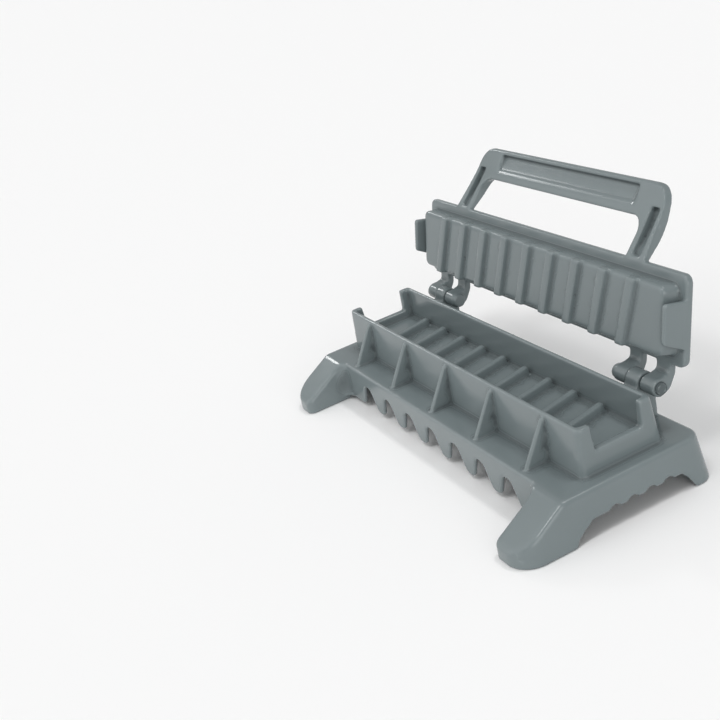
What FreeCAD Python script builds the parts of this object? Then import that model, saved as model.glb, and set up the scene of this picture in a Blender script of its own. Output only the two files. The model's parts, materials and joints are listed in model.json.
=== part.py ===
import FreeCAD, Part
import os
import Sketcher

# Hinged press mould, sizes in millimetres.
# X runs along the trough, +Y is the hinge side, +Z is up, and the feet stand on Z = 0.
# The shapes are drawn about the trough's middle, and each piece's Placement moves them forward
# so that the origin is under the middle of the open mould.
# The lid is drawn closed, flat over the trough, and its pieces' Placements also swing it open.

DIMENSIONS = [
    ("wall", 2.5, "moulded wall thickness"),
    ("origin_back", 6.1, "the origin's place behind the trough's middle, under the open mould's middle"),
    # deck and stand
    ("deck_length", 293.0, "deck, left to right"),
    ("deck_width", 89.0, "deck, front to back"),
    ("deck_height", 28.0, "deck's top face above the feet"),
    ("deck_thick", 3.2, "deck thickness"),
    ("deck_edge", 2.6, "rounding of the deck's upper edge"),
    ("deck_corner", 10.0, "rounding of the deck's rear corners"),
    # trough
    ("rim_height", 55.5, "trough rim above the feet"),
    ("trough_length", 272.4, "outside, at the rim"),
    ("trough_width", 47.4, "outside, at the rim"),
    ("foot_length", 272.8, "outside, where the trough meets the deck"),
    ("foot_width", 52.4, "outside, where the trough meets the deck"),
    ("well_length", 263.6, "inside, at the rim"),
    ("well_width", 42.0, "inside, at the rim"),
    ("floor_length", 262.0, "inside, at the floor"),
    ("floor_width", 40.0, "inside, at the floor"),
    ("floor_height", 36.0, "trough floor above the feet"),
    ("floor_thick", 2.5, "trough floor thickness"),
    ("foot_wall", 2.75, "trough wall thickness where it meets the deck"),
    ("core_draft", 1.0, "how far each side of the hollow under the trough leans in"),
    ("well_corner", 2.0, "rounding of the well's upright corners"),
    ("trough_corner", 3.6, "rounding of the trough's upright corners"),
    ("notch_width", 31.2, "skewer notch in each end wall, at the rim"),
    ("notch_foot", 29.6, "skewer notch in each end wall, at its sill"),
    ("sill_height", 41.0, "notch sill above the feet"),
    # slanted ribs on the floor and on the press plug
    ("rib_pitch", 25.1, "spacing of the slanted ribs"),
    ("rib_skew", 9.0, "how far a rib leans along the trough"),
    ("floor_rib_base", 6.4, "floor rib width at its foot"),
    ("floor_rib_crest", 4.4, "floor rib width at its crest"),
    ("floor_rib_rise", 5.0, "floor rib height"),
    ("floor_rib_reach", 37.0, "floor rib length, front to back"),
    ("floor_rib_root", 0.5, "how far a floor rib's foot runs into the floor"),
    ("plug_rib_base", 9.4, "plug rib width at its foot"),
    ("plug_rib_crest", 6.6, "plug rib width at its crest"),
    ("plug_rib_rise", 3.1, "plug rib height"),
    ("plug_rib_over", 0.6, "how far a plug rib's ends stand out past the pressing face"),
    ("plug_rib_wrap", 2.4, "how far those ends run up the plug's sides"),
    # gussets between the deck and the trough walls
    ("gusset_pitch", 52.3, "spacing of the gussets"),
    ("gusset_thick", 3.0, "gusset thickness"),
    ("gusset_reach", 41.4, "gusset foot, from the trough's middle"),
    ("gusset_rise", 25.6, "gusset height above the deck"),
    ("gusset_top", 1.7, "width of the gusset's top"),
    # scalloped skirts
    ("scallop_pitch", 29.2, "spacing of the scallops"),
    ("scallop_crown", 7.9, "scallop width at its top"),
    ("scallop_mouth", 20.8, "scallop width at the skirt's lower edge"),
    ("scallop_height", 18.0, "scallop top above the feet"),
    ("scallop_round", 5.2, "rounding of the scallops and teeth"),
    ("skirt_edge", 2.8, "lower edge of the long skirts above the feet"),
    ("end_edge", 11.2, "lower edge of the end skirts above the feet"),
    ("end_wave", 4.2, "radius of the end skirts' shallow waves"),
    ("end_wave_pitch", 11.5, "spacing of those waves"),
    ("end_wave_shift", 4.9, "how far those waves sit ahead of the middle"),
    ("end_wave_depth", 1.9, "depth of those waves"),
    ("end_skirt_round", 3.0, "rounding of the lower edge's outer bends"),
    ("end_skirt_crook", 2.5, "rounding of its inner bends"),
    ("end_foot", 1.9, "width of the foot in front of an end skirt"),
    ("end_shin", 3.7, "lowest bend behind that foot, behind the deck's front edge"),
    ("end_shin_up", 4.0, "lowest bend, above the feet"),
    ("end_bend", 8.5, "middle bend, behind the deck's front edge"),
    ("end_bend_up", 7.6, "middle bend, above the feet"),
    ("end_brow", 11.5, "highest bend, behind the deck's front edge"),
    ("end_brow_up", 9.0, "highest bend, above the feet"),
    ("end_level", 13.7, "where the lower edge turns level, behind the deck's front edge"),
    ("end_fall", 26.5, "where the lower edge turns down to the rear leg, behind the middle"),
    ("end_hock", 30.2, "next bend, behind the middle"),
    ("end_hock_up", 7.2, "next bend, above the feet"),
    ("end_heel", 32.8, "last bend, behind the middle"),
    ("end_heel_up", 2.6, "last bend, above the feet"),
    ("end_rear_up", 0.8, "lower edge where it meets the rear leg"),
    # legs
    ("leg_inner", 121.5, "leg's inner face from the middle"),
    ("leg_outer", 148.3, "leg's outer face from the middle, at the foot"),
    ("leg_front", 77.0, "front leg's toe from the middle"),
    ("leg_toe_drop", 19.8, "how far the ramp has dropped at the toe"),
    ("leg_draft", 0.8, "how far the toe leans back at the deck's height"),
    ("leg_web", 8.0, "hollow rounding between leg and skirt"),
    ("toe_round", 15.0, "rounding of the toe's outer corner"),
    ("leg_edge", 3.0, "rounding along the sides of a leg's sloping top"),
    ("toe_crown", 8.0, "rounding from a leg's sloping top down to its toe"),
    ("ramp_start", 1.6, "where the sloping top leaves the deck's level, in front of the deck"),
    ("ramp_crown", 6.0, "rounding from the deck to a leg's sloping top"),
    ("ramp_wall", 3.0, "wall under a leg's sloping top, measured upright"),
    ("instep_round", 5.0, "rounding of the toe's inner corner"),
    ("rear_leg_back", 47.5, "rear leg's heel from the middle"),
    ("heel_crown", 4.0, "rounding of a rear leg's lower back edge"),
    ("rear_leg_inner", 121.5, "rear leg's inner edge from the middle"),
    ("rear_leg_front", 34.0, "rear leg's front edge from the middle"),
    # hinge
    ("hinge_back", 37.6, "hinge axis behind the trough's middle"),
    ("hinge_height", 50.0, "hinge axis above the feet"),
    ("open_angle", 102.75, "lid angle, open against its stop, from closed"),
    ("knuckle_start", 101.6, "hinge knuckle's inner face from the middle"),
    ("knuckle_width", 10.8, "hinge knuckle width"),
    ("knuckle_radius", 6.1, "hinge knuckle radius"),
    ("knuckle_flare", 4.6, "how far the knuckle's post runs behind the hinge axis at the deck"),
    ("knuckle_lean", 6.0, "how far below the axis the post leaves the trough's wall"),
    ("pin_radius", 2.5, "hinge pin radius"),
    ("pin_clearance", 0.06, "radial running clearance in the knuckle"),
    ("pin_head_radius", 3.7, "hinge pin head radius"),
    ("pin_head_thick", 1.4, "hinge pin head thickness"),
    ("pin_head_edge", 0.7, "rounding of the pin head's rim"),
    ("pin_tail", 1.0, "how far the pin's tail runs into the inner arm's cap"),
    ("inner_arm_start", 90.2, "inner arm's inner face from the middle"),
    ("inner_arm_width", 10.6, "inner arm width"),
    ("outer_arm_start", 113.2, "outer arm's inner face from the middle"),
    ("outer_arm_width", 11.4, "outer arm width"),
    ("arm_cap_thick", 2.8, "thickness of the cap that closes the inner arm's hole"),
    ("arm_cap_radius", 4.5, "radius of that cap"),
    ("arm_boss", 5.2, "radius of the arm's boss"),
    ("neck_reach", 5.5, "where an arm's upper side bends, behind the plate"),
    ("neck_back", 2.2, "where that side turns down, behind the hinge axis"),
    ("neck_fall", 3.4, "how far that side has fallen there"),
    ("neck_foot", 4.8, "where an arm's lower side bends, behind the plate"),
    ("neck_bend", 7.0, "rounding of the upper side's bends"),
    ("neck_crook", 2.4, "rounding of the lower side's bend"),
    # lid
    ("rim_gap", 0.2, "gap between the closed plate and the trough rim"),
    ("plate_length", 272.0, "press plate, left to right"),
    ("plate_width", 50.6, "press plate, front to back"),
    ("plate_thick", 4.6, "press plate thickness"),
    ("plate_corner", 5.0, "press plate corner rounding"),
    ("plate_edge", 1.4, "rounding of the plate's upper edge"),
    ("plug_length", 261.2, "plug where it meets the plate"),
    ("plug_width", 39.0, "plug where it meets the plate"),
    ("plug_face_length", 257.0, "plug at its pressing face"),
    ("plug_face_width", 38.2, "plug at its pressing face"),
    ("plug_depth", 9.7, "plug depth below the plate"),
    ("plug_corner", 4.5, "plug corner rounding"),
    ("plug_edge", 2.0, "rounding round the plug's pressing face"),
    ("hollow_length", 254.2, "lid's hollow back, at its floor"),
    ("hollow_width", 33.0, "lid's hollow back, at its floor"),
    ("web_pitch", 28.8, "spacing of the webs across the lid's hollow back"),
    ("web_thick", 2.4, "thickness of those webs"),
    ("web_reach", 35.0, "length of those webs, front to back"),
    ("web_drop", 0.8, "how far the webs stop short of the plate's back"),
    ("tab_start", 133.0, "end tab's inner face from the middle"),
    ("tab_thick", 3.2, "end tab thickness"),
    ("tab_front", 11.9, "end tab's front edge, ahead of the middle"),
    ("tab_back", 14.6, "end tab's back edge at the plate, behind the middle"),
    ("tab_tip_back", 9.8, "end tab's back edge at the tip, behind the middle"),
    ("tab_depth", 13.9, "end tab depth below the plate"),
    ("tab_corner", 1.6, "rounding of an end tab's tip"),
    # handle, measured forward of and above the closed plate's front upper edge
    ("handle_foot_outer", 100.0, "arm's outer edge at the plate"),
    ("handle_waist_outer", 97.4, "arm's outer edge part of the way up"),
    ("handle_waist_out", 14.0, "that place, forward of the plate"),
    ("handle_top_outer", 94.4, "arm's outer edge at the grip's top"),
    ("handle_foot_inner", 83.5, "arm's inner edge"),
    ("handle_reach", 38.4, "handle length forward of the plate"),
    ("handle_opening", 19.8, "finger opening, forward of the plate"),
    ("handle_knee_out", 14.0, "bend on the handle's upper side, forward"),
    ("handle_knee_up", 13.0, "bend on the handle's upper side, upward"),
    ("handle_top_up", 20.5, "grip's upper edge, upward"),
    ("handle_low_out", 26.0, "bend on the handle's lower side, forward"),
    ("handle_low_up", 10.8, "bend on the handle's lower side, upward"),
    ("handle_lip_up", 15.2, "grip's lower edge, upward"),
    ("grip_corner", 12.0, "outer rounding of the handle's corners"),
    ("grip_corner_in", 8.5, "inner rounding of the handle's corners"),
    ("handle_low_bend", 60.0, "bend of the handle's lower side"),
    ("handle_knee_bend", 40.0, "bend of the handle's upper side"),
    ("grip_edge", 2.2, "rounding of the grip's far edges"),
    ("grip_half", 73.0, "half length of the grip between its arms"),
    ("slot_width", 7.0, "slot in each arm, width"),
    ("slot_middle", 91.4, "slot in each arm, from the middle"),
    ("slot_end", 25.8, "slot in each arm, forward end"),
    ("slot_start", 1.6, "slot in each arm, end next to the plate"),
    ("slot_lean", 1.5, "how much nearer the middle its forward end is"),
    ("slot_corner", 1.2, "rounding of its corners"),
    ("slot_skin", 2.21, "skin left above each slot, measured upright"),
    ("scoop_half", 71.0, "half length of the grip's long recess"),
    ("scoop_far", 2.8, "that recess's far edge, behind the grip's far side"),
    ("scoop_near", 12.0, "its near edge, behind the grip's far side"),
    ("scoop_depth", 3.5, "depth of that recess along its far edge"),
    ("scoop_step", 0.8, "depth of that recess along its near edge"),
]

doc = FreeCAD.newDocument("press_mould")
sheet = doc.addObject("Spreadsheet::Sheet", "dims")
for row, (alias, number, note) in enumerate(DIMENSIONS, start=1):
    sheet.set("A%d" % row, alias)
    sheet.set("B%d" % row, str(number))
    sheet.set("C%d" % row, note)
    sheet.setAlias("B%d" % row, alias)
doc.recompute()


class Size:
    """A length that knows its number and the spreadsheet formula behind it."""

    def __init__(self, number, formula):
        self.number = number
        self.formula = formula

    def __add__(self, other):
        other = size(other)
        return Size(self.number + other.number, "(%s + %s)" % (self.formula, other.formula))

    def __sub__(self, other):
        other = size(other)
        return Size(self.number - other.number, "(%s - %s)" % (self.formula, other.formula))

    def __mul__(self, other):
        other = size(other)
        return Size(self.number * other.number, "(%s * %s)" % (self.formula, other.formula))

    def __truediv__(self, other):
        other = size(other)
        return Size(self.number / other.number, "(%s / %s)" % (self.formula, other.formula))

    def __radd__(self, other):
        return size(other) + self

    def __rsub__(self, other):
        return size(other) - self

    def __rmul__(self, other):
        return size(other) * self

    def __neg__(self):
        return size(0) - self


def size(value):
    return value if isinstance(value, Size) else Size(float(value), repr(float(value)))


class Sizes:
    """Sizes by name, so that S.wall is the spreadsheet's cell called wall."""


S = Sizes()
for alias, number, note in DIMENSIONS:
    setattr(S, alias, Size(number, "dims." + alias))


def bind(item, prop, value):
    item.setExpression(prop, size(value).formula)


# ---------------------------------------------------------------- shape helpers

PLANES = {"XY": "XY_Plane", "XZ": "XZ_Plane", "YZ": "YZ_Plane"}
SAME = 1e-4         # points closer than this are the same point
UPRIGHT_RISE = 4    # an edge that climbs more than this is upright


def draw(body, name, plane, outline, offset):
    """A closed straight-sided sketch on one of the body's own planes."""
    sketch = body.newObject("Sketcher::SketchObject", name)
    for datum in body.Origin.OriginFeatures:
        if datum.Role == PLANES[plane]:
            sketch.AttachmentSupport = (datum, [""])
    sketch.MapMode = "FlatFace"
    bind(sketch, "AttachmentOffset.Base.z", offset)
    corners = [FreeCAD.Vector(size(a).number, size(b).number, 0) for a, b in outline]
    count = len(corners)
    for i in range(count):
        sketch.addGeometry(Part.LineSegment(corners[i], corners[(i + 1) % count]), False)
    for i in range(count):
        sketch.addConstraint(Sketcher.Constraint("Coincident", i, 2, (i + 1) % count, 1))
    for i, (a, b) in enumerate(outline):
        for kind, value in (("DistanceX", a), ("DistanceY", b)):
            value = size(value)
            index = sketch.addConstraint(Sketcher.Constraint(kind, -1, 1, i, 1, value.number))
            sketch.setExpression("Constraints[%d]" % index, value.formula)
    return sketch


def pad(name, plane, outline, start, length, rounds=()):
    """A straight prism: outline on plane, from start, length long; XZ ones grow towards -Y.
    rounds lists (corner number, radius) for the prism's long edges."""
    body = doc.addObject("PartDesign::Body", name)
    offset = -size(start) if plane == "XZ" else size(start)
    sketch = draw(body, name + "_outline", plane, outline, offset)
    block = body.newObject("PartDesign::Pad", name + "_pad")
    block.Profile = sketch
    bind(block, "Length", length)
    doc.recompute()
    tip = block
    for number, (corners, radius) in enumerate(rounds):
        names = []
        for corner in corners:
            a, b = size(outline[corner][0]).number, size(outline[corner][1]).number
            for index, edge in enumerate(tip.Shape.Edges, start=1):
                ends = [flat(plane, vertex.Point) for vertex in edge.Vertexes]
                if len(ends) == 2 and all(abs(p - a) + abs(q - b) < SAME for p, q in ends):
                    names.append("Edge%d" % index)
        fillet = body.newObject("PartDesign::Fillet", "%s_round%d" % (name, number))
        fillet.Base = (tip, names)
        bind(fillet, "Radius", radius)
        doc.recompute()
        tip = fillet
    body.Tip = tip
    return body


def flat(plane, point):
    if plane == "XY":
        return point.x, point.y
    return (point.x, point.z) if plane == "XZ" else (point.y, point.z)


def frustum(name, low, high, bottom, top):
    """A block whose rectangle changes from low at height bottom to high at height top.
    Each rectangle is (least x, greatest x, least y, greatest y)."""
    block = doc.addObject("Part::Wedge", name)
    bounds = {"Xmin": low[0], "Xmax": low[1], "Zmin": -size(low[3]), "Zmax": -size(low[2]),
              "X2min": high[0], "X2max": high[1], "Z2min": -size(high[3]), "Z2max": -size(high[2]),
              "Ymin": bottom, "Ymax": top}
    for prop, value in bounds.items():
        setattr(block, prop, size(value).number)
    for prop, value in bounds.items():
        bind(block, prop, value)
    block.Placement.Rotation = FreeCAD.Rotation(FreeCAD.Vector(1, 0, 0), 90)
    return block


def centred(length, width):
    return (-length / 2, length / 2, -width / 2, width / 2)


def rod(name, start, length, radius, back, height):
    """A round bar along +X."""
    bar = doc.addObject("Part::Cylinder", name)
    bar.Placement.Rotation = FreeCAD.Rotation(FreeCAD.Vector(0, 1, 0), 90)
    for prop, value in (("Height", length), ("Radius", radius), ("Placement.Base.x", start),
                        ("Placement.Base.y", back), ("Placement.Base.z", height)):
        bind(bar, prop, value)
    return bar


def join(name, pieces):
    whole = doc.addObject("Part::MultiFuse", name)
    whole.Shapes = pieces
    whole.Refine = True
    return whole


def common(name, pieces):
    whole = doc.addObject("Part::MultiCommon", name)
    whole.Shapes = pieces
    whole.Refine = True
    return whole


def cut(name, piece, tool):
    rest = doc.addObject("Part::Cut", name)
    rest.Base = piece
    rest.Tool = tool
    rest.Refine = True
    return rest


def rounded(name, piece, radius, wanted):
    """Rounds the edges that wanted(edge) picks."""
    doc.recompute()
    soft = doc.addObject("Part::Fillet", name)
    soft.Base = piece
    number = size(radius).number
    soft.Edges = [(i, number, number) for i, edge in enumerate(piece.Shape.Edges, start=1)
                  if wanted(edge)]
    return soft


def upright(edge):
    ends = [vertex.Point for vertex in edge.Vertexes]
    return len(ends) == 2 and abs(ends[0].z - ends[1].z) > UPRIGHT_RISE


def level(height):
    def wanted(edge):
        return all(abs(vertex.Point.z - height) < SAME for vertex in edge.Vertexes)
    return wanted


SUBPARTS = {}


def subpart(node, piece):
    piece.Label = node
    bind(piece, "Placement.Base.y", -S.origin_back)
    SUBPARTS[node] = piece
    return piece


def open_lid(piece):
    """Swings a piece of the closed lid back to its open rest about the hinge axis."""
    swing = "dims.open_angle * 1deg"
    piece.Placement.Rotation = FreeCAD.Rotation(FreeCAD.Vector(1, 0, 0), -1)
    piece.setExpression("Placement.Rotation.Angle", "-1 * " + swing)
    piece.setExpression("Placement.Base.y", "dims.hinge_back * (1 - cos(%s)) - dims.hinge_height * sin(%s)"
                        " - dims.origin_back" % (swing, swing))
    piece.setExpression("Placement.Base.z", "dims.hinge_height * (1 - cos(%s)) + dims.hinge_back * sin(%s)"
                        % (swing, swing))


def side(hand, near, width):
    """Where a prism along X starts: near its inner face, on the left (-1) or right (+1)."""
    return size(near) if hand > 0 else -(size(near) + width)


HANDS = ((-1, "left"), (1, "right"))
DECK_UNDER = S.deck_height - S.deck_thick
UNDER_LENGTH = S.foot_length - 2 * S.foot_wall
UNDER_WIDTH = S.foot_width - 2 * S.foot_wall


# ---------------------------------------------------------------- trough

def build_trough():
    shell = frustum("trough_shell", centred(S.foot_length, S.foot_width),
                    centred(S.trough_length, S.trough_width), S.deck_height, S.rim_height)
    shell = rounded("trough_rounded", shell, S.trough_corner, upright)
    grow = size(1) / (S.rim_height - S.floor_height)
    over_length = S.well_length + (S.well_length - S.floor_length) * grow
    over_width = S.well_width + (S.well_width - S.floor_width) * grow
    well = frustum("trough_well", centred(S.floor_length, S.floor_width),
                   centred(over_length, over_width), S.floor_height, S.rim_height + 1)
    well = rounded("trough_well_rounded", well, S.well_corner, upright)
    core = frustum("trough_core", centred(UNDER_LENGTH, UNDER_WIDTH),
                   centred(UNDER_LENGTH - 2 * S.core_draft, UNDER_WIDTH - 2 * S.core_draft),
                   S.deck_height - 1, S.floor_height - S.floor_thick)
    half_top, half_foot = S.notch_width / 2, S.notch_foot / 2
    notch = pad("trough_notch", "YZ",
                [(-half_foot, S.sill_height), (half_foot, S.sill_height),
                 (half_top + 0.1, S.rim_height + 1), (-half_top - 0.1, S.rim_height + 1)],
                -S.foot_length, 2 * S.foot_length)
    hollow = join("trough_hollow", [well, core, notch])
    body = cut("trough_open", shell, hollow)
    ribs = []
    for step in range(-4, 5):
        ribs.append(slanted_rib("floor_rib_%d" % (step + 5), step, S.floor_rib_base, S.floor_rib_crest,
                                S.floor_rib_reach, S.floor_height - S.floor_rib_root,
                                S.floor_height + S.floor_rib_rise))
    return subpart("trough", join("trough_body", [body] + ribs))


def slanted_rib(name, step, base, crest, reach, foot, top):
    """A bar across the trough that leans along it: its front end is shifted towards +X."""
    middle, shift = S.rib_pitch * step, S.rib_skew / 2
    body = doc.addObject("PartDesign::Body", name)
    outlines = []
    for label, width, height in (("foot", base, foot), ("crest", crest, top)):
        half = width / 2
        outlines.append(draw(body, "%s_%s" % (name, label), "XY",
                             [(middle + shift - half, -reach / 2), (middle + shift + half, -reach / 2),
                              (middle - shift + half, reach / 2), (middle - shift - half, reach / 2)],
                             height))
    loft = body.newObject("PartDesign::AdditiveLoft", name + "_loft")
    loft.Profile = outlines[0]
    loft.Sections = outlines[1:]
    loft.Ruled = True
    body.Tip = loft
    return body


def wall_at(height):
    """The trough wall's outer face, from the middle, at a height."""
    slope = (S.foot_width - S.trough_width) / 2 / (S.rim_height - S.deck_height)
    return S.foot_width / 2 - slope * (height - S.deck_height)


def build_gussets():
    peak = S.deck_height + S.gusset_rise
    for word, facing, steps in (("front", -1, range(-2, 3)), ("rear", 1, range(-1, 2))):
        for number, step in enumerate(steps, start=1):
            outline = [(facing * wall_at(S.deck_height), S.deck_height),
                       (facing * wall_at(peak), peak),
                       (facing * (wall_at(peak) + S.gusset_top), peak),
                       (facing * S.gusset_reach, S.deck_height)]
            node = "%s_gusset_%d" % (word, number)
            subpart(node, pad(node + "_body", "YZ", outline,
                              S.gusset_pitch * step - S.gusset_thick / 2, S.gusset_thick))


# ---------------------------------------------------------------- deck, skirts and legs

def build_deck():
    half_x, half_y = S.deck_length / 2, S.deck_width / 2
    plate = pad("deck_plate", "XY",
                [(-half_x, -half_y), (half_x, -half_y), (half_x, half_y), (-half_x, half_y)],
                DECK_UNDER, S.deck_thick, [((2, 3), S.deck_corner)])
    plate = rounded("deck_soft", plate, S.deck_edge, deck_top_edge)
    opening = centred(UNDER_LENGTH, UNDER_WIDTH)
    window = frustum("deck_window", opening, opening, DECK_UNDER - 1, S.deck_height + 1)
    return subpart("deck", cut("deck_body", plate, window))


def deck_top_edge(edge):
    """The deck's upper edge at the ends, the back and the round corners, not along the front."""
    ends = [vertex.Point for vertex in edge.Vertexes]
    at_top = all(abs(point.z - S.deck_height.number) < SAME for point in ends)
    at_front = all(abs(point.y + S.deck_width.number / 2) < SAME for point in ends)
    return at_top and not at_front


def build_long_skirts():
    outer = S.deck_width / 2
    for word, back_face, half in (("front", -outer + S.wall, S.leg_inner + S.wall),
                                  ("rear", outer, S.rear_leg_inner)):
        outline = [(-half, DECK_UNDER), (-half, S.skirt_edge)]
        soft = []
        for step in range(-3, 4):
            middle = S.scallop_pitch * step
            first = len(outline)
            outline += [(middle - S.scallop_mouth / 2, S.skirt_edge),
                        (middle - S.scallop_crown / 2, S.scallop_height),
                        (middle + S.scallop_crown / 2, S.scallop_height),
                        (middle + S.scallop_mouth / 2, S.skirt_edge)]
            soft += range(first, first + 4)
        outline += [(half, S.skirt_edge), (half, DECK_UNDER)]
        subpart(word + "_skirt", pad(word + "_skirt_body", "XZ", outline, back_face, S.wall,
                                     [(tuple(soft), S.scallop_round)]))


def lean_at(height):
    """The outer face of an end skirt or leg, from the middle, at a height."""
    hip = S.deck_length / 2
    return hip + (S.leg_outer - hip) * (S.deck_height - height) / S.deck_height


def build_end_skirts():
    front, edge = S.deck_width / 2, S.end_edge
    outline = [(-front, DECK_UNDER), (-front, 0), (S.end_foot - front, 0),
               (S.end_shin - front, S.end_shin_up), (S.end_bend - front, S.end_bend_up),
               (S.end_brow - front, S.end_brow_up), (S.end_level - front, edge), (S.end_fall, edge),
               (S.end_hock, S.end_hock_up), (S.end_heel, S.end_heel_up),
               (S.rear_leg_front, S.end_rear_up), (S.rear_leg_front, DECK_UNDER)]
    hip, foot = S.deck_length / 2, S.leg_outer
    for hand, word in HANDS:
        start = side(hand, hip - S.wall - 1, S.wall + 4)
        profile = pad(word + "_end_skirt_profile", "YZ", outline, start, S.wall + 4,
                      [((3, 5, 8), S.end_skirt_round), ((6, 7), S.end_skirt_crook)])
        deep = edge + S.end_wave_depth - S.end_wave
        waves = [rod("%s_end_wave_%d" % (word, step), start - 1, S.wall + 6, S.end_wave,
                     S.end_wave_pitch * step - S.end_wave_shift, deep) for step in range(-1, 3)]
        drawn = [(hip - S.wall, S.deck_height), (hip, S.deck_height), (foot, 0), (foot - S.wall, 0)]
        leaning = pad(word + "_end_skirt_lean", "XZ", [(hand * size(x), z) for x, z in drawn],
                      front, 2 * front)
        wavy = cut(word + "_end_skirt_wavy", profile, join(word + "_end_waves", waves))
        subpart(word + "_end_skirt", common(word + "_end_skirt_body", [wavy, leaning]))


def leg_block(name, hand, inset, bottom):
    """The front leg's flaring block, drawn in by inset from its outside faces."""
    front = -S.deck_width / 2
    back = front if inset == 0 else front + 6
    low = (S.leg_inner + inset, S.leg_outer - inset, -S.leg_front + inset, back)
    high = (S.leg_inner + inset, S.deck_length / 2 - inset, -S.leg_front + S.leg_draft + inset, back)
    block = frustum(name + "_flare", mirrored(hand, low), mirrored(hand, high), bottom, S.deck_height)
    toe = S.leg_front.number - size(inset).number - 2
    middle = (S.leg_inner.number + S.leg_outer.number) / 2

    def toe_corner(edge):
        spot = edge.CenterOfMass
        return upright(edge) and spot.y < -toe and abs(spot.x) > middle

    def instep_corner(edge):
        spot = edge.CenterOfMass
        return upright(edge) and spot.y < -toe and abs(spot.x) < middle

    block = rounded(name + "_toe", block, S.toe_round - inset, toe_corner)
    return rounded(name + "_instep", block, S.instep_round - inset, instep_corner)


def ramp(name, hand, drop):
    """Everything below the leg's sloping top, lowered by drop."""
    toe = S.leg_front + 1
    front = S.deck_width / 2
    back = -front + 8
    top = S.deck_height - drop
    foot = S.deck_height - S.leg_toe_drop - drop
    outline = [(back, -1), (-toe, -1), (-toe, foot), (-front - S.ramp_start, top), (back, top)]
    return pad(name, "YZ", outline, side(hand, S.leg_inner - 12, 50), 50,
               [((2,), S.toe_crown), ((3,), S.ramp_crown)])


def build_front_legs():
    front = -S.deck_width / 2
    for hand, word in HANDS:
        name = word + "_front_leg"
        block = leg_block(name + "_block", hand, 0, 0)
        web_box = pad(name + "_web", "XY",
                      [(hand * (S.leg_inner - S.leg_web), front), (hand * (S.leg_inner + 1), front),
                       (hand * (S.leg_inner + 1), front - S.leg_web), (hand * (S.leg_inner - S.leg_web),
                                                                       front - S.leg_web)],
                      S.skirt_edge, S.deck_height - S.skirt_edge)
        scoop = doc.addObject("Part::Cylinder", name + "_web_scoop")
        for prop, value in (("Radius", S.leg_web), ("Height", S.deck_height + 2),
                            ("Placement.Base.x", hand * (S.leg_inner - S.leg_web)),
                            ("Placement.Base.y", front - S.leg_web), ("Placement.Base.z", -1)):
            bind(scoop, prop, value)
        web = cut(name + "_web_cut", web_box, scoop)
        solid = common(name + "_solid", [join(name + "_sum", [block, web]),
                                         ramp(name + "_ramp", hand, 0)])
        solid = rounded(name + "_soft", solid, S.leg_edge, ramp_edge)
        inside = common(name + "_inside", [leg_block(name + "_core", hand, S.wall, -1),
                                           ramp(name + "_core_ramp", hand, S.ramp_wall)])
        subpart(name, cut(name + "_body", solid, inside))


def ramp_edge(edge):
    """Edges round the sloping top of a front leg, at its sides and toe."""
    points = [edge.valueAt(edge.FirstParameter + t * (edge.LastParameter - edge.FirstParameter))
              for t in (0.0, 0.5, 1.0)]
    front, top = S.deck_width.number / 2, S.deck_height.number
    start = front + S.ramp_start.number
    slope = S.leg_toe_drop.number / (S.leg_front.number + 1 - start)
    return all(point.z > 6 and abs(point.z - min(top, top - slope * (-point.y - start))) < 1.0
               and point.y < -front + 0.01 for point in points) and not (
                   abs(points[0].y - points[2].y) < SAME and points[0].y > -front - 12)


def build_rear_legs():
    back, front = S.deck_width / 2, S.rear_leg_front
    hip = lean_at(DECK_UNDER)
    for hand, word in HANDS:
        name = word + "_rear_leg"
        inner = S.rear_leg_inner
        low = (inner, S.leg_outer, front, S.rear_leg_back)
        high = (inner, hip, front, back)
        block = frustum(name + "_block", mirrored(hand, low), mirrored(hand, high), 0, DECK_UNDER)

        def heel_corner(edge):
            spot = edge.CenterOfMass
            return upright(edge) and spot.y > back.number and abs(spot.x) > hip.number - 1

        block = rounded(name + "_heel", block, S.deck_corner, heel_corner)
        profile = pad(name + "_profile", "YZ",
                      [(front - 1, 0), (S.rear_leg_back, 0), (back, DECK_UNDER), (front - 1, DECK_UNDER)],
                      side(hand, inner - 1, S.leg_outer - inner + 2), S.leg_outer - inner + 2,
                      [((1,), S.heel_crown)])
        block = common(name + "_outside", [block, profile])
        low = (inner + S.wall, S.leg_outer - S.wall, front - 5, S.rear_leg_back - S.wall)
        high = (inner + S.wall, hip - S.wall, front - 5, back - S.wall)
        core = frustum(name + "_core", mirrored(hand, low), mirrored(hand, high), -0.01, DECK_UNDER + 0.01)

        def core_corner(edge):
            spot = edge.CenterOfMass
            return upright(edge) and spot.y > back.number - 4 and abs(spot.x) > hip.number - 4

        core = rounded(name + "_core_heel", core, S.deck_corner - S.wall, core_corner)
        subpart(name, cut(name + "_body", block, core))


def mirrored(hand, rectangle):
    least, greatest, front, back = rectangle
    return rectangle if hand > 0 else (-size(greatest), -size(least), front, back)


# ---------------------------------------------------------------- hinge

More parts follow.
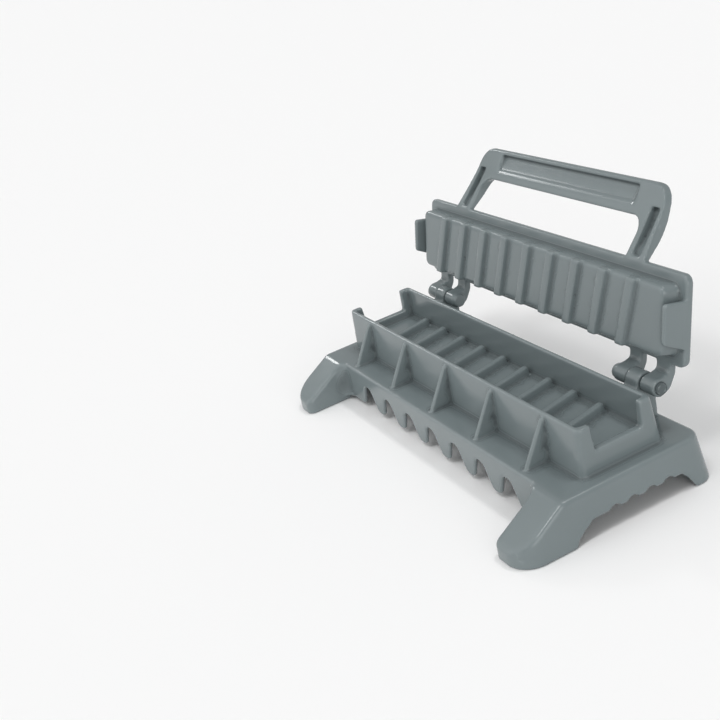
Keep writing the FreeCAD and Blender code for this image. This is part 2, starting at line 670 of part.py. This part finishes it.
def build_hinges():
    plate_back, plate_top = S.plate_width / 2, PLATE_TOP
    back, height = S.hinge_back, S.hinge_height
    for hand, word in HANDS:
        # the bored knuckle stands on the deck and leans on the trough's rear wall
        start = side(hand, S.knuckle_start, S.knuckle_width)
        post = pad(word + "_knuckle_post", "YZ",
                   [(wall_at(S.deck_height), S.deck_height), (back + S.knuckle_flare, S.deck_height),
                    (back + S.knuckle_radius, height), (back - S.knuckle_radius, height),
                    (wall_at(height - S.knuckle_lean), height - S.knuckle_lean)], start, S.knuckle_width)
        barrel = rod(word + "_knuckle_barrel", start, S.knuckle_width, S.knuckle_radius, back, height)
        bore = rod(word + "_knuckle_bore", start - 1, S.knuckle_width + 2, S.pin_radius + S.pin_clearance,
                   back, height)
        subpart(word + "_hinge_knuckle", cut(word + "_knuckle_body",
                                             join(word + "_knuckle_solid", [post, barrel]), bore))
        # the goose-neck arms run from the plate's hinge edge to the pin
        for which, near, width in (("inner", S.inner_arm_start, S.inner_arm_width),
                                   ("outer", S.outer_arm_start, S.outer_arm_width)):
            name = "%s_%s_arm" % (word, which)
            start = side(hand, near, width)
            neck = pad(name + "_neck", "YZ",
                       [(plate_back, plate_top), (plate_back + S.neck_reach, plate_top),
                        (back + S.neck_back, plate_top - S.neck_fall),
                        (back + S.arm_boss, height), (back - S.arm_boss, height),
                        (plate_back + S.neck_foot, plate_top - S.plate_thick),
                        (plate_back, plate_top - S.plate_thick)], start, width,
                       [((1, 2), S.neck_bend), ((5,), S.neck_crook)])
            boss = rod(name + "_boss", start, width, S.arm_boss, back, height)
            pieces = [neck, boss]
            if which == "inner":
                cap_start = side(hand, near - S.arm_cap_thick, S.arm_cap_thick)
                pieces.append(rod(name + "_cap", cap_start, S.arm_cap_thick, S.arm_cap_radius, back, height))
                hole_start = side(hand, near - S.pin_tail, width + 2)
                hole = rod(name + "_hole", hole_start, width + 2, S.pin_radius, back, height)
            else:
                hole = rod(name + "_hole", start - 1, width + 2, S.pin_radius, back, height)
            piece = cut(name + "_body", join(name + "_solid", pieces), hole)
            open_lid(subpart("%s_%s_hinge_arm" % (word, which), piece))
        # the pin: shank through both arms and the knuckle, head on the outside
        tail = S.inner_arm_start - S.pin_tail
        shank_length = S.outer_arm_start + S.outer_arm_width - tail
        shank = rod(word + "_pin_shank", side(hand, tail, shank_length), shank_length,
                    S.pin_radius, back, height)
        head_near = S.outer_arm_start + S.outer_arm_width
        head = rod(word + "_pin_head", side(hand, head_near, S.pin_head_thick), S.pin_head_thick,
                   S.pin_head_radius, back, height)
        tip = abs(size(head_near).number + S.pin_head_thick.number)
        head = rounded(word + "_pin_head_soft", head, S.pin_head_edge, rim_at(tip))
        open_lid(subpart(word + "_hinge_pin", join(word + "_pin_body", [shank, head])))


def rim_at(distance):
    def wanted(edge):
        return all(abs(abs(vertex.Point.x) - distance) < SAME for vertex in edge.Vertexes)
    return wanted


# ---------------------------------------------------------------- lid

PLATE_LOW = S.rim_height + S.rim_gap
PLATE_TOP = PLATE_LOW + S.plate_thick
PLUG_FACE = PLATE_LOW - S.plug_depth


def lid_webs(name, bottom, top):
    """The cross webs that stiffen the lid's hollow back, between two heights."""
    half = S.web_reach / 2
    return [pad("%s_%d" % (name, step + 5), "YZ",
                [(-half, bottom), (half, bottom), (half, top), (-half, top)],
                S.web_pitch * (step + 0.5) - S.web_thick / 2, S.web_thick) for step in range(-4, 4)]


def build_plate_and_plug():
    half_x, half_y = S.plate_length / 2, S.plate_width / 2
    slab = pad("plate_slab", "XY",
               [(-half_x, -half_y), (half_x, -half_y), (half_x, half_y), (-half_x, half_y)],
               PLATE_LOW, S.plate_thick, [((0, 1, 2, 3), S.plate_corner)])
    slab = rounded("plate_soft", slab, S.plate_edge, level(PLATE_TOP.number))
    hollow = centred(S.plug_length - 2 * S.wall, S.plug_width - 2 * S.wall)
    window = frustum("plate_window", hollow, hollow, PLATE_LOW - 1, PLATE_TOP + 1)
    plate = join("plate_body", [cut("plate_frame", slab, window)]
                 + lid_webs("plate_web", PLATE_LOW, PLATE_TOP - S.web_drop))
    open_lid(subpart("press_plate", plate))

    block = frustum("plug_block", centred(S.plug_face_length, S.plug_face_width),
                    centred(S.plug_length, S.plug_width), PLUG_FACE, PLATE_LOW)
    block = rounded("plug_corners", block, S.plug_corner, upright)
    block = rounded("plug_soft", block, S.plug_edge, level(PLUG_FACE.number))
    core = frustum("plug_core", centred(S.hollow_length, S.hollow_width), hollow,
                   PLUG_FACE + S.wall, PLATE_LOW)
    ribs = []
    for step in range(-4, 5):
        ribs.append(slanted_rib("plug_rib_%d" % (step + 5), step, S.plug_rib_crest, S.plug_rib_base,
                                S.plug_face_width + 2 * S.plug_rib_over, PLUG_FACE - S.plug_rib_rise,
                                PLUG_FACE + S.plug_rib_wrap))
    plug = join("plug_body", [cut("plug_shell", block, core)] + ribs
                + lid_webs("plug_web", PLUG_FACE + 1, PLATE_LOW))
    open_lid(subpart("press_plug", plug))


def build_tabs():
    for hand, word in HANDS:
        outline = [(-S.tab_front, PLATE_LOW), (-S.tab_front, PLATE_LOW - S.tab_depth),
                   (S.tab_tip_back, PLATE_LOW - S.tab_depth), (S.tab_back, PLATE_LOW)]
        tab = pad(word + "_tab_body", "YZ", outline, side(hand, S.tab_start, S.tab_thick), S.tab_thick,
                  [((1, 2), S.tab_corner)])
        open_lid(subpart(word + "_end_tab", tab))


def build_handle():
    front = -S.plate_width / 2
    top = PLATE_TOP
    profile = [(front, top - S.plate_thick), (front - S.handle_low_out, top + S.handle_low_up),
               (front - S.handle_reach, top + S.handle_lip_up),
               (front - S.handle_reach, top + S.handle_top_up),
               (front - S.handle_knee_out, top + S.handle_knee_up), (front, top)]
    bar = pad("handle_bar", "YZ", profile, -S.handle_foot_outer - 2, 2 * S.handle_foot_outer + 4,
              [((1,), S.handle_low_bend), ((4,), S.handle_knee_bend), ((2, 3), S.grip_edge)])
    low, high = top - S.plate_thick - 2, top + S.handle_top_up + 4
    reach = front - S.handle_reach - 1
    frame = pad("handle_frame", "XY",
                [(-S.handle_foot_outer, front), (-S.handle_waist_outer, front - S.handle_waist_out),
                 (-S.handle_top_outer, reach + 1), (S.handle_top_outer, reach + 1),
                 (S.handle_waist_outer, front - S.handle_waist_out), (S.handle_foot_outer, front)],
                low, high - low, [((2, 3), S.grip_corner)])
    opening = pad("handle_opening_tool", "XY",
                  [(-S.handle_foot_inner, front + 1), (-S.handle_foot_inner, front - S.handle_opening),
                   (S.handle_foot_inner, front - S.handle_opening), (S.handle_foot_inner, front + 1)],
                  low - 1, high - low + 2, [((1, 2), S.grip_corner_in)])
    loop = common("handle_loop", [bar, cut("handle_ring", frame, opening)])

    # wedge-shaped recess along the grip's lower side, deepest along its far edge
    rise = (S.handle_lip_up - S.handle_low_up) / (S.handle_reach - S.handle_low_out)
    far, near = S.handle_reach - S.scoop_far, S.handle_reach - S.scoop_near
    face_far = top + S.handle_low_up + rise * (far - S.handle_low_out)
    face_near = top + S.handle_low_up + rise * (near - S.handle_low_out)
    scoop = pad("grip_scoop", "YZ",
                [(front - near, face_near + S.scoop_step), (front - near, face_near - 3),
                 (front - far, face_far - 3), (front - far, face_far + S.scoop_depth)],
                -S.scoop_half, 2 * S.scoop_half)

    # slots in the arms' lower sides, leaving a thin skin above
    slots = []
    for hand, word in HANDS:
        foot, end = S.slot_middle, S.slot_middle - S.slot_lean
        half = S.slot_width / 2
        slots.append(pad(word + "_slot_plan", "XY",
                         [(hand * (foot - half), front - S.slot_start),
                          (hand * (end - half), front - S.slot_end),
                          (hand * (end + half), front - S.slot_end),
                          (hand * (foot + half), front - S.slot_start)],
                         low, high - low, [((0, 1, 2, 3), S.slot_corner)]))
    below_skin = pad("slot_depth", "YZ",
                     [(front, low), (reach, low), (reach, top + S.handle_top_up - S.slot_skin),
                      (front - S.handle_reach, top + S.handle_top_up - S.slot_skin),
                      (front - S.handle_knee_out, top + S.handle_knee_up - S.slot_skin),
                      (front, top - S.slot_skin)],
                     -S.handle_foot_outer - 2, 2 * S.handle_foot_outer + 4, [((4,), S.handle_knee_bend)])
    slot_tool = common("slot_tool", [join("slot_pair", slots), below_skin])
    handle = cut("handle_cut", loop, join("handle_tools", [scoop, slot_tool]))

    grip_box = frustum("grip_box", (-S.grip_half, S.grip_half, reach - 5, front + 5),
                       (-S.grip_half, S.grip_half, reach - 5, front + 5), low, high)
    open_lid(subpart("handle_grip", common("grip_body", [handle, grip_box])))
    for hand, word in HANDS:
        box = mirrored(hand, (S.grip_half, S.handle_foot_outer + 5, reach - 5, front + 5))
        arm_box = frustum(word + "_arm_box", box, box, low, high)
        open_lid(subpart(word + "_handle_arm", common(word + "_handle_arm_body", [handle, arm_box])))


build_trough()
build_gussets()
build_deck()
build_long_skirts()
build_end_skirts()
build_front_legs()
build_rear_legs()
build_hinges()
build_plate_and_plug()
build_tabs()
build_handle()
doc.recompute()

for item in doc.Objects:
    if "Invalid" in item.State or "Error" in item.State:
        raise RuntimeError("%s (%s) did not build: %s" % (item.Name, item.Label, item.State))
os.makedirs("parts", exist_ok=True)
for node, piece in SUBPARTS.items():
    shape = piece.Shape
    if shape.isNull() or not shape.isValid() or not shape.Solids:
        raise RuntimeError("%s has no valid solid" % node)
    box = shape.BoundBox
    print("%-24s solids %d  x %.1f..%.1f  y %.1f..%.1f  z %.1f..%.1f  %.0f mm3" % (
        node, len(shape.Solids), box.XMin, box.XMax, box.YMin, box.YMax, box.ZMin, box.ZMax, shape.Volume))
    shape.exportStep("parts/%s.step" % node)
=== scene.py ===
import json
import math

import bpy
import numpy as np
import openvdb as vdb
from mathutils import Matrix, Vector


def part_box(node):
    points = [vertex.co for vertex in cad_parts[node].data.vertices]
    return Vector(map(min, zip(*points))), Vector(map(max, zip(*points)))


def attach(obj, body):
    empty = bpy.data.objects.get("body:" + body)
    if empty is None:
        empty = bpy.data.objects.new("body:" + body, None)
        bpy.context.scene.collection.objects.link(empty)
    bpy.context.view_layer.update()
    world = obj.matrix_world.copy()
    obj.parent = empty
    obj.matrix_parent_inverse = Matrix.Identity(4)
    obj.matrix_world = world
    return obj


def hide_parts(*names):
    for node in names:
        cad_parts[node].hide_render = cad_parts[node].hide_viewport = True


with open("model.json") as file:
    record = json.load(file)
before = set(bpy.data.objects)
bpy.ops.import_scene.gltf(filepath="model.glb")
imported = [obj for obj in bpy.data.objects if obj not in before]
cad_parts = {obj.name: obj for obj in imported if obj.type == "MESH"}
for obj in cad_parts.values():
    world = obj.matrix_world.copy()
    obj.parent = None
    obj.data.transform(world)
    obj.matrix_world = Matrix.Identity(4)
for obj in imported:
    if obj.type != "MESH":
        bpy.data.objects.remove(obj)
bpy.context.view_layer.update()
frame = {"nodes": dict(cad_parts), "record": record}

MM = 0.001


# ---------------------------------------------------------------- level sets
# A moulding is one skin round all of its regions, with rounded outer edges and crisp inside corners.
# Its regions are read from the frame as signed distance fields, merged, rounded, blurred and skinned.

VOXEL = 0.5 * MM
BAND = 4                # width of the distance field on each side of a surface, in voxels
FIELD_MARGIN = BAND + 3     # voxels kept round the whole moulding
REGION_MARGIN = BAND + 2    # voxels read round each region
WELD = 0.16 * MM        # how far regions grow before they merge, so that flush faces weld
BLUR_REACH = 3          # where the blur's weights stop, in standard deviations
CREASE_START = math.radians(14)     # a smooth normal this far from its face's own starts to give way
CREASE_END = math.radians(30)       # and here the face's own has replaced it


def corners_and_triangles(mesh):
    mesh.calc_loop_triangles()
    corners = np.empty(len(mesh.vertices) * 3, np.float32)
    mesh.vertices.foreach_get("co", corners)
    triangles = np.empty(len(mesh.loop_triangles) * 3, np.int32)
    mesh.loop_triangles.foreach_get("vertices", triangles)
    return corners.reshape(-1, 3), triangles.reshape(-1, 3).astype(np.uint32)


def distance_grid(corners, triangles, quads, band):
    return vdb.FloatGrid.createLevelSetFromPolygons(
        corners, triangles=triangles, quads=quads,
        transform=vdb.createLinearTransform(VOXEL), halfWidth=float(band))


def whole_numbers(values):
    return tuple(int(value) for value in values)


class Field:
    """A block of signed distances in metres, negative inside, with its first voxel's index."""

    def __init__(self, low, high):
        self.first = np.floor(np.array(low) / VOXEL).astype(int) - FIELD_MARGIN
        last = np.ceil(np.array(high) / VOXEL).astype(int) + FIELD_MARGIN
        self.values = np.full(last - self.first + 1, BAND * VOXEL, np.float32)

    def part_of(self, low, high):
        """The first index and the slices of this block that hold a box and its band."""
        start = np.floor(np.array(low) / VOXEL).astype(int) - REGION_MARGIN
        stop = np.ceil(np.array(high) / VOXEL).astype(int) + REGION_MARGIN
        start = np.maximum(start, self.first)
        stop = np.minimum(stop, self.first + np.array(self.values.shape) - 1)
        return start, tuple(slice(a - f, b - f + 1) for a, b, f in zip(start, stop, self.first))

    def add(self, mesh):
        """Merges a closed mesh into the shape."""
        corners, triangles = corners_and_triangles(mesh)
        start, window = self.part_of(corners.min(0), corners.max(0))
        block = np.empty(self.values[window].shape, np.float32)
        distance_grid(corners, triangles, None, BAND).copyToArray(block, ijk=whole_numbers(start))
        self.values[window] = np.minimum(self.values[window], block)

    def grid(self):
        grid = vdb.FloatGrid()
        grid.background = BAND * VOXEL
        grid.transform = vdb.createLinearTransform(VOXEL)
        grid.copyFromArray(self.values, ijk=whole_numbers(self.first))
        return grid

    def offset(self, reach):
        """Moves the surface outwards by reach, with true distances again on both sides."""
        corners, triangles, quads = self.grid().convertToPolygons(reach, 0.0)
        block = np.empty(self.values.shape, np.float32)
        distance_grid(corners, triangles, quads, BAND + 1).copyToArray(
            block, ijk=whole_numbers(self.first))
        self.values = block

    def weld(self):
        """Closes the seams between flush regions."""
        self.offset(WELD)
        self.values += WELD

    def round_edges(self, radius):
        """Shrinks and grows the shape again: outer edges turn round, inside corners stay crisp."""
        self.offset(-radius)
        self.values -= radius

    def soften(self, spread):
        """Blurs the distances a little, which smooths what the voxels left behind."""
        sigma = spread / VOXEL
        reach = int(math.ceil(BLUR_REACH * sigma))
        weights = np.exp(-0.5 * (np.arange(-reach, reach + 1) / sigma) ** 2)
        weights = (weights / weights.sum()).astype(np.float32)
        for axis in range(3):
            padding = [(0, 0)] * 3
            padding[axis] = (reach, reach)
            padded = np.pad(self.values, padding, mode="edge")
            total = np.zeros_like(self.values)
            size = self.values.shape[axis]
            for place, weight in enumerate(weights):
                window = [slice(None)] * 3
                window[axis] = slice(place, place + size)
                total += weight * padded[tuple(window)]
            self.values = total

    def normals(self, points):
        """Unit gradients of the distances at points, read between voxels."""
        where = points / VOXEL - self.first
        whole = np.clip(np.floor(where).astype(int), 1, np.array(self.values.shape) - 3)
        part = where - whole
        total = np.zeros_like(points)
        for i in (0, 1):
            for j in (0, 1):
                for k in (0, 1):
                    weight = np.prod(np.where((i, j, k), part, 1 - part), axis=1)
                    a, b, c = whole[:, 0] + i, whole[:, 1] + j, whole[:, 2] + k
                    v = self.values
                    slope = np.stack([v[a + 1, b, c] - v[a - 1, b, c], v[a, b + 1, c] - v[a, b - 1, c],
                                      v[a, b, c + 1] - v[a, b, c - 1]], axis=1)
                    total += weight[:, None] * slope
        return total / np.maximum(np.linalg.norm(total, axis=1, keepdims=True), 1e-12)

    def skin(self, name, merge):
        """The surface as a mesh. Where it is nearly flat, merge lets small faces join into larger ones."""
        corners, triangles, quads = self.grid().convertToPolygons(0.0, merge)
        faces = triangles.tolist() + quads.tolist()
        mesh = bpy.data.meshes.new(name)
        mesh.from_pydata(corners.tolist(), [], faces)
        mesh.polygons.foreach_set("use_smooth", np.ones(len(faces), bool))
        mesh.update()
        mesh.normals_split_custom_set(self.corner_normals(mesh, corners).tolist())
        return mesh

    def corner_normals(self, mesh, corners):
        """Smooth normals from the distances, but a face's own normal where it meets a sharp corner."""
        smooth = self.normals(corners.astype(np.float64))
        owners = np.empty(len(mesh.loops), np.int32)
        mesh.loops.foreach_get("vertex_index", owners)
        flat = np.empty(len(mesh.polygons) * 3, np.float64)
        mesh.polygons.foreach_get("normal", flat)
        counts = np.empty(len(mesh.polygons), np.int32)
        mesh.polygons.foreach_get("loop_total", counts)
        flat = np.repeat(flat.reshape(-1, 3), counts, axis=0)
        smooth = smooth[owners]
        agreement = np.sum(smooth * flat, axis=1)
        start, end = math.cos(CREASE_START), math.cos(CREASE_END)
        share = np.clip((agreement - end) / (start - end), 0, 1)[:, None]
        mixed = share * smooth + (1 - share) * flat
        return mixed / np.linalg.norm(mixed, axis=1, keepdims=True)


def show(name, mesh, material, body, nodes):
    """Puts a mesh in the scene as a piece that rides on a body and stands for CAD nodes."""
    mesh.materials.append(material)
    piece = bpy.data.objects.new(name, mesh)
    bpy.context.scene.collection.objects.link(piece)
    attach(piece, body)
    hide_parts(*nodes)


# ---------------------------------------------------------------- mouldings

# for each: radius of its outer edges, spread of the blur, and how freely its faces merge
MOULDED = {
    "base": (0.8 * MM, 0.28 * MM, 0.065),
    "lid": (0.6 * MM, 0.32 * MM, 0.035),
}


def moulding(body, nodes, material):
    """One smooth skin that stands for several CAD regions of one body."""
    edge, spread, merge = MOULDED[body]
    boxes = [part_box(node) for node in nodes]
    low = [min(box[0][axis] for box in boxes) for axis in range(3)]
    high = [max(box[1][axis] for box in boxes) for axis in range(3)]
    field = Field(low, high)
    for node in nodes:
        field.add(frame["nodes"][node].data)
    field.weld()
    field.round_edges(edge)
    field.soften(spread)
    name = body + "_moulding"
    show(name, field.skin(name, merge), material, body, nodes)


# ---------------------------------------------------------------- hinge pins

PIN_RADIUS = 2.5 * MM
PIN_TAPER = 0.5 * MM        # chamfer at the pin's inner end
HEAD_RADIUS = 3.65 * MM     # this and HEAD_INSET keep the head just inside the pin's box
HEAD_INSET = 0.05 * MM
HEAD_THICK = 1.4 * MM
HEAD_CHAMFER = 0.15 * MM    # at the head's inner rim
HEAD_ROUND = ((0.4 * MM, 0.0), (0.1 * MM, 0.2 * MM), (0.0, 0.6 * MM))   # back from its face, in from its rim
GROOVE_DEPTH = 0.35 * MM    # a ring groove parts the head's face from the pin's end
GROOVE_OUTER = 2.95 * MM
GROOVE_INNER = 2.7 * MM
PIN_END = 2.6 * MM          # radius of the pin's end inside the groove
PIN_STEPS = 64              # facets round the pin


def pin_profile(length):
    """Half profile of a pin: distances from its inner end, and radii."""
    seat = length - HEAD_THICK
    face = length - HEAD_INSET
    shank = [(0.0, PIN_RADIUS - PIN_TAPER), (PIN_TAPER, PIN_RADIUS), (seat, PIN_RADIUS)]
    head = [(seat, HEAD_RADIUS - HEAD_CHAMFER), (seat + HEAD_CHAMFER, HEAD_RADIUS)]
    head += [(face - back, HEAD_RADIUS - inwards) for back, inwards in HEAD_ROUND]
    groove = [(face - GROOVE_DEPTH, GROOVE_OUTER), (face - GROOVE_DEPTH, GROOVE_INNER), (face, PIN_END)]
    return shank + head + groove


def turned_pin(node, material):
    """A hinge pin turned from its half profile: shank, head and a ring groove in the head."""
    low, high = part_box(node)
    outwards = 1 if high.x > 0 else -1
    inner = low.x if outwards > 0 else high.x
    middle = (low + high) / 2
    profile = pin_profile(high.x - low.x)
    corners, faces = [], []
    for along, radius in profile:
        for step in range(PIN_STEPS):
            turn = 2 * math.pi * step / PIN_STEPS * outwards
            corners.append((inner + outwards * along, middle.y + radius * math.cos(turn),
                            middle.z + radius * math.sin(turn)))
    last = (len(profile) - 1) * PIN_STEPS
    for ring in range(0, last, PIN_STEPS):
        for step in range(PIN_STEPS):
            after = (step + 1) % PIN_STEPS
            faces.append((ring + step, ring + PIN_STEPS + step, ring + PIN_STEPS + after, ring + after))
    faces.append(tuple(range(PIN_STEPS)))
    faces.append(tuple(last + step for step in reversed(range(PIN_STEPS))))
    mesh = bpy.data.meshes.new(node)
    mesh.from_pydata(corners, [], faces)
    mesh.update()
    show(node + "_piece", mesh, material, "lid", [node])


# ---------------------------------------------------------------- plastic

BLACK, WHITE = (0, 0, 0, 1), (1, 1, 1, 1)
RESIN_DARK = (0.162, 0.194, 0.200, 1)
RESIN_PALE = (0.173, 0.207, 0.213, 1)
# painted shade: the darker colour that inside corners are painted
CORNER_SHADE_COLOUR = (0.085, 0.103, 0.107, 1)
# painted highlight: the paler colour painted along outer edges
EDGE_HIGHLIGHT_COLOUR = (0.34, 0.38, 0.385, 1)
EDGE_HIGHLIGHT_SHARE = 0.6      # how far outer edges go to their painted highlight colour
# pointiness over which inside corners go over into their painted shade
SHADED_CORNER_POINTINESS = 0.465, 0.496
# pointiness over which outer edges go over into their painted highlight
EDGE_POINTINESS = 0.52, 0.62
GLOSSY, SATIN = 0.17, 0.23      # the least and the greatest roughness


def moulded_plastic(name, seed):
    """Mid grey satin plastic: faint mottling, fine mould texture, painted shade in inside corners, painted
    highlights on outer edges.
    """
    material = bpy.data.materials.new(name)
    material.use_nodes = True
    tree = material.node_tree
    nodes, links = tree.nodes, tree.links
    shader = nodes["Principled BSDF"]
    place = nodes.new("ShaderNodeTexCoord")
    geometry = nodes.new("ShaderNodeNewGeometry")

    def noise(scale, detail, roughness):
        texture = nodes.new("ShaderNodeTexNoise")
        texture.noise_dimensions = "4D"
        texture.inputs["W"].default_value = seed
        texture.inputs["Scale"].default_value = scale
        texture.inputs["Detail"].default_value = detail
        texture.inputs["Roughness"].default_value = roughness
        links.new(place.outputs["Object"], texture.inputs["Vector"])
        return texture.outputs["Fac"]

    def ramp(source, low, high, first, second):
        stops = nodes.new("ShaderNodeValToRGB")
        stops.color_ramp.elements[0].position = low
        stops.color_ramp.elements[1].position = high
        stops.color_ramp.elements[0].color = first
        stops.color_ramp.elements[1].color = second
        links.new(source, stops.inputs["Fac"])
        return stops.outputs["Color"]

    def math_node(operation, first):
        node = nodes.new("ShaderNodeMath")
        node.operation = operation
        links.new(first, node.inputs[0])
        return node

    def blend(share, colour, other):
        """Goes from the linked colour to the colour other."""
        mix = nodes.new("ShaderNodeMix")
        mix.data_type = "RGBA"
        links.new(share, mix.inputs["Factor"])
        links.new(colour, mix.inputs["A"])
        mix.inputs["B"].default_value = other
        return mix.outputs["Result"]

    def bump(height, strength, distance):
        node = nodes.new("ShaderNodeBump")
        node.inputs["Strength"].default_value = strength
        node.inputs["Distance"].default_value = distance
        links.new(height, node.inputs["Height"])
        return node

    # broad mottling in the resin
    mottled = ramp(noise(scale=28, detail=4, roughness=0.55), 0.3, 0.7, RESIN_DARK, RESIN_PALE)
    # painted shade: inside corners are painted darker, and their roughness goes up so they shine less
    corners = ramp(geometry.outputs["Pointiness"], *SHADED_CORNER_POINTINESS, WHITE, BLACK)
    shaded = blend(corners, mottled, CORNER_SHADE_COLOUR)
    # painted highlight: outer edges are painted paler, standing in for the highlights along them
    edges = ramp(geometry.outputs["Pointiness"], *EDGE_POINTINESS, BLACK, WHITE)
    edge_highlight = math_node("MULTIPLY", edges)
    edge_highlight.inputs[1].default_value = EDGE_HIGHLIGHT_SHARE
    links.new(blend(edge_highlight.outputs[0], shaded, EDGE_HIGHLIGHT_COLOUR), shader.inputs["Base Color"])
    # uneven gloss
    gloss = ramp(noise(scale=60, detail=5, roughness=0.6), 0.3, 0.75,
                 (GLOSSY, GLOSSY, GLOSSY, 1), (SATIN, SATIN, SATIN, 1))
    dull = math_node("MAXIMUM", gloss)
    links.new(corners, dull.inputs[1])
    links.new(dull.outputs[0], shader.inputs["Roughness"])
    # fine texture left by the mould, over a faint waviness
    fine = bump(noise(scale=2600, detail=2, roughness=0.5), strength=0.02, distance=0.1 * MM)
    broad = bump(noise(scale=45, detail=1, roughness=0.4), strength=0.03, distance=1.0 * MM)
    links.new(fine.outputs["Normal"], broad.inputs["Normal"])
    links.new(broad.outputs["Normal"], shader.inputs["Normal"])
    shader.inputs["IOR"].default_value = 1.5
    return material


# ---------------------------------------------------------------- camera

CAMERA_AZIMUTH = math.radians(69.908)       # from the front towards the right
CAMERA_ELEVATION = math.radians(22.777)
CAMERA_ROLL = math.radians(-15.280)
CAMERA_DISTANCE = 827.908 * MM
CAMERA_LENS = 60.18             # millimetres, for the sensor's width below
SENSOR_WIDTH = 36.0
TARGET_X = -112.721 * MM
TARGET_FORWARD = 34.570 * MM    # ahead of the trough's middle


def add_camera():
    """A camera that stands to the right of the mould, above it, and rolled."""
    low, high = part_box("trough")
    trough_middle = (low.y + high.y) / 2
    deck_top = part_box("deck")[1].z
    target = Vector((TARGET_X, trough_middle - TARGET_FORWARD, deck_top))
    back = Vector((math.sin(CAMERA_AZIMUTH) * math.cos(CAMERA_ELEVATION),
                   -math.cos(CAMERA_AZIMUTH) * math.cos(CAMERA_ELEVATION),
                   math.sin(CAMERA_ELEVATION)))
    right = (-back).cross(Vector((0, 0, 1))).normalized()
    up = right.cross(-back)
    turned_right = math.cos(CAMERA_ROLL) * right + math.sin(CAMERA_ROLL) * up
    turned_up = math.cos(CAMERA_ROLL) * up - math.sin(CAMERA_ROLL) * right
    data = bpy.data.cameras.new("camera")
    data.sensor_width = SENSOR_WIDTH
    data.lens = CAMERA_LENS
    camera = bpy.data.objects.new("camera", data)
    bpy.context.scene.collection.objects.link(camera)
    place = target + back * CAMERA_DISTANCE
    camera.matrix_world = Matrix((
        (turned_right.x, turned_up.x, back.x, place.x),
        (turned_right.y, turned_up.y, back.y, place.y),
        (turned_right.z, turned_up.z, back.z, place.z),
        (0, 0, 0, 1)))
    bpy.context.scene.camera = camera


# ---------------------------------------------------------------- light and floor

# where each light comes from, how many degrees wide it is, and its strength
SUNS = {
    "overhead": ((0.13, 0.33, 0.94), 8, 0.55),
    "high_front": ((0.22, -0.38, 0.90), 16, 0.6),
    "low_back": ((-0.86, -0.1, 0.47), 9, 0.22),
    "front": ((-0.5, -1.0, 0.6), 70, 0.8),
    "right": ((1.0, -0.25, 0.2), 50, 1.15),
}
WORLD_STRENGTH = 0.46
FLOOR_HALF = 60.0       # metres, so that its edge is never seen
FLOOR_COLOUR = (0.925, 0.925, 0.925, 1)


def add_lights():
    """Soft, even light from all round, and suns for the shape of the highlights."""
    for name, (towards, spread, strength) in SUNS.items():
        data = bpy.data.lights.new(name, "SUN")
        data.angle = math.radians(spread)
        data.energy = strength
        lamp = bpy.data.objects.new(name, data)
        bpy.context.scene.collection.objects.link(lamp)
        lamp.rotation_euler = Vector(towards).to_track_quat("Z", "Y").to_euler()
    world = bpy.data.worlds.new("studio")
    world.use_nodes = True
    world.node_tree.nodes["Background"].inputs["Color"].default_value = WHITE
    world.node_tree.nodes["Background"].inputs["Strength"].default_value = WORLD_STRENGTH
    bpy.context.scene.world = world
    bpy.context.scene.view_settings.view_transform = "Standard"


def add_floor():
    mesh = bpy.data.meshes.new("floor")
    mesh.from_pydata([(-FLOOR_HALF, -FLOOR_HALF, 0), (FLOOR_HALF, -FLOOR_HALF, 0),
                      (FLOOR_HALF, FLOOR_HALF, 0), (-FLOOR_HALF, FLOOR_HALF, 0)], [], [(0, 1, 2, 3)])
    floor = bpy.data.objects.new("floor", mesh)
    bpy.context.scene.collection.objects.link(floor)
    material = bpy.data.materials.new("floor")
    material.use_nodes = True
    shader = material.node_tree.nodes["Principled BSDF"]
    shader.inputs["Base Color"].default_value = FLOOR_COLOUR
    shader.inputs["Roughness"].default_value = 0.9
    shader.inputs["Specular IOR Level"].default_value = 0.2
    mesh.materials.append(material)


bodies = frame["record"]["behaviour"]["bodies"]
pins = [node for node in bodies["lid"] if node.endswith("pin")]
base_plastic = moulded_plastic("base_plastic", 0.0)
lid_plastic = moulded_plastic("lid_plastic", 3.0)
pin_plastic = moulded_plastic("pin_plastic", 6.0)
moulding("base", bodies["base"], base_plastic)
moulding("lid", [node for node in bodies["lid"] if node not in pins], lid_plastic)
for pin in pins:
    turned_pin(pin, pin_plastic)
add_camera()
add_floor()
add_lights()
